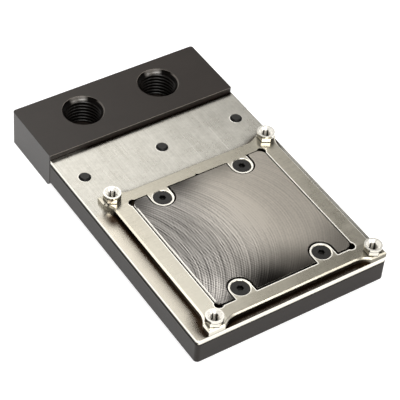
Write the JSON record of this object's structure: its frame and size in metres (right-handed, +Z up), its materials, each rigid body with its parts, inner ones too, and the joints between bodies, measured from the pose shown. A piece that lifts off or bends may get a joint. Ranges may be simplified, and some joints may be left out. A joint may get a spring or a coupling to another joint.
{
  "type": "gpu water block",
  "caption": "Flat liquid cooling block with a raised copper contact pad, a mounting frame with threaded standoffs and a terminal with two hose ports.",
  "frame": {"origin": "middle of the block's footprint, on the surface that the terminal stands on", "axes": "+Z up, out of the contact pad; +Y along the block towards the terminal with the ports; +X to the right seen from the near end"},
  "size_m": [0.07, 0.1124, 0.0163],
  "materials": {
    "acetal": "milled black acetal",
    "nickel": "satin nickel plating with straight milling lines",
    "polished_nickel": "polished nickel",
    "black_steel": "black zinc plated steel",
    "stainless": "cold rolled stainless sheet",
    "seal_rubber": "moulded rubber"
  },
  "bodies": {
    "root": {"acetal_body": "acetal", "terminal_block": "acetal", "cold_plate": "nickel", "mounting_frame": "nickel", "standoff_front_left": "polished_nickel", "standoff_front_right": "polished_nickel", "standoff_back_left": "polished_nickel", "standoff_back_right": "polished_nickel", "frame_screws": "black_steel", "body_screws_long": "black_steel", "body_screws_short": "black_steel", "terminal_screws": "black_steel", "main_seal": "seal_rubber", "inlet_seal": "seal_rubber", "outlet_seal": "seal_rubber", "jet_plate": "stainless"}
  },
  "joints": []
}
